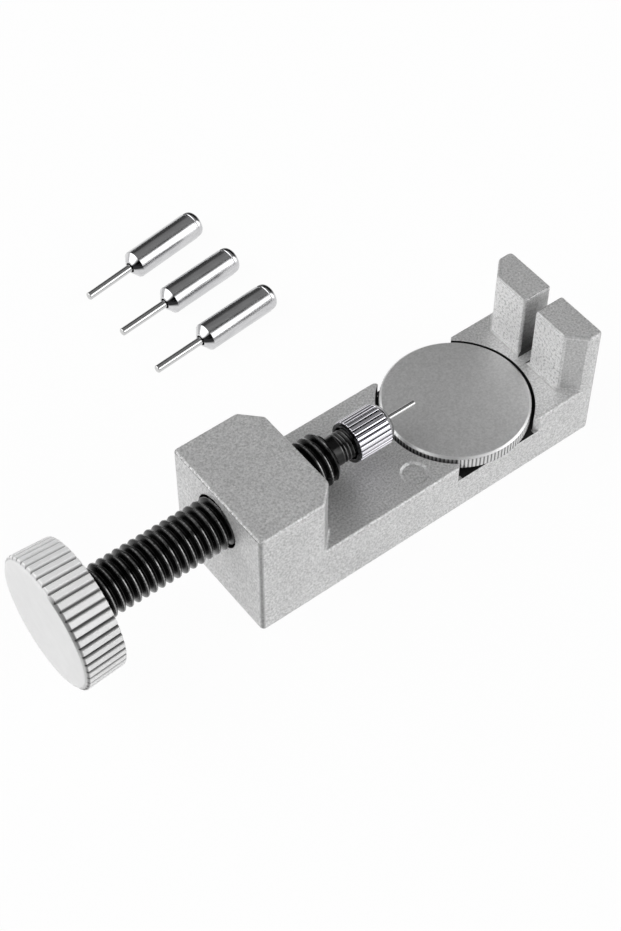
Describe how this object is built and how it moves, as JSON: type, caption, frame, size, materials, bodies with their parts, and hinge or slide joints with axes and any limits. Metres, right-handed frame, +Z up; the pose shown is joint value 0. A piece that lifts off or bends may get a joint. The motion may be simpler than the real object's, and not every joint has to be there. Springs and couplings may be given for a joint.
{
  "type": "watch link remover",
  "caption": "Bench tool that pushes the pins out of a watch bracelet with a hand-turned screw and punch, with spare punches beside it.",
  "frame": {"origin": "centre of the casting's flat underside, which stands on the bench", "axes": "+X along the screw from the knob towards the slotted rest; +Y across the bar, towards the side where the spare punches lie; +Z up"},
  "size_m": [0.1104, 0.0898, 0.0314],
  "materials": {
    "cast_alloy": "fine blasted casting, matt silver-grey, edges rubbed a little brighter",
    "black_steel": "black oxide, glossy, thread crests rubbed grey",
    "satin_steel": "pale satin plating over turned steel, fine rings on the face",
    "chromed_steel": "mirror bright plating",
    "bright_steel": "ground bright",
    "satin_plate": "satin grey top, bright bevel",
    "stud_steel": "plain machined steel"
  },
  "bodies": {
    "base": {"base_casting": "cast_alloy"},
    "punch": {"punch_body": "bright_steel", "punch_needle": "bright_steel"},
    "spindle": {"spindle": "black_steel", "knob": "satin_steel"},
    "chuck_cap": {"chuck_cap": "chromed_steel"},
    "stud": {"turntable_stud": "stud_steel"},
    "turntable": {"turntable": "satin_plate"},
    "spare_punch_1": {"spare_punch_1_body": "chromed_steel", "spare_punch_1_needle": "bright_steel"},
    "spare_punch_2": {"spare_punch_2_body": "chromed_steel", "spare_punch_2_needle": "bright_steel"},
    "spare_punch_3": {"spare_punch_3_body": "chromed_steel", "spare_punch_3_needle": "bright_steel"}
  },
  "joints": [
    {"name": "spindle_feed", "type": "slide", "parent": "base", "child": "punch", "axis": [1, 0, 0], "range_m": [-0.0161, 0.0263]},
    {"name": "spindle_turn", "type": "hinge", "parent": "punch", "child": "spindle", "pos_m": [0, 0, 0.01875], "axis": [1, 0, 0], "range_deg": [-3600, 5904]},
    {"name": "cap_off", "type": "slide", "parent": "spindle", "child": "chuck_cap", "axis": [1, 0, 0], "range_m": [0, 0.006]},
    {"name": "turntable_rise", "type": "slide", "parent": "base", "child": "stud", "axis": [0, 0, 1], "range_m": [-0.00092, 0.00102]},
    {"name": "turntable_turn", "type": "hinge", "parent": "stud", "child": "turntable", "pos_m": [0.01512, 0, 0.0096], "axis": [0, 0, 1], "range_deg": [-324, 360]},
    {"name": "spare_punch_1_lift", "type": "slide", "parent": "base", "child": "spare_punch_1", "axis": [0, 0, 1], "range_m": [0, 0.03]},
    {"name": "spare_punch_2_lift", "type": "slide", "parent": "base", "child": "spare_punch_2", "axis": [0, 0, 1], "range_m": [0, 0.03]},
    {"name": "spare_punch_3_lift", "type": "slide", "parent": "base", "child": "spare_punch_3", "axis": [0, 0, 1], "range_m": [0, 0.03]}
  ],
  "couplings": [
    {"joint": "spindle_feed", "follows": "spindle_turn", "m_per_rad": 0.00025465},
    {"joint": "turntable_rise", "follows": "turntable_turn", "m_per_rad": 0.00015915}
  ]
}
